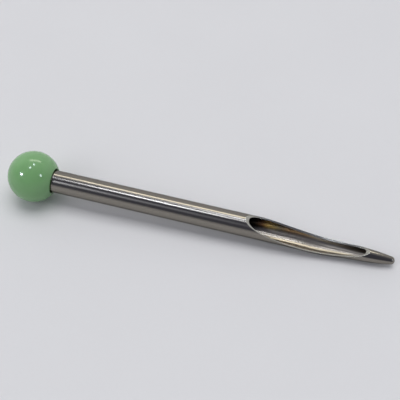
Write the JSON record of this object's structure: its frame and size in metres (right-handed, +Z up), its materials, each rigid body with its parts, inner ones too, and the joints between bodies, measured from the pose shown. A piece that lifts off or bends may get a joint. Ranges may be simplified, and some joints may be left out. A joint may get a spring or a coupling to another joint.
{
  "type": "ply splitting needle",
  "caption": "Hollow steel ply-splitting needle: a straight tube with a scooped, closed taper at one end and a glossy ball knob bonded on the other.",
  "frame": {"origin": "middle of the overall length and width, on the surface that the needle rests on", "axes": "+X along the length from the ball to the tip, +Z up with the scoop open upwards; the needle leans tip down by 2.6 degrees, as it rests on its ball and on the scoop's underside"},
  "size_m": [0.151, 0.02, 0.02],
  "materials": {
    "mint_ball": "high gloss, moulded, light grey-green",
    "ground_steel": "stainless steel ground finely round its circumference, scoop polished inside with a faint heat tint",
    "cured_bond": "dark cured adhesive"
  },
  "bodies": {
    "root": {"ball_knob": "mint_ball", "needle_tube": "ground_steel", "bond_sleeve": "cured_bond"}
  },
  "joints": []
}
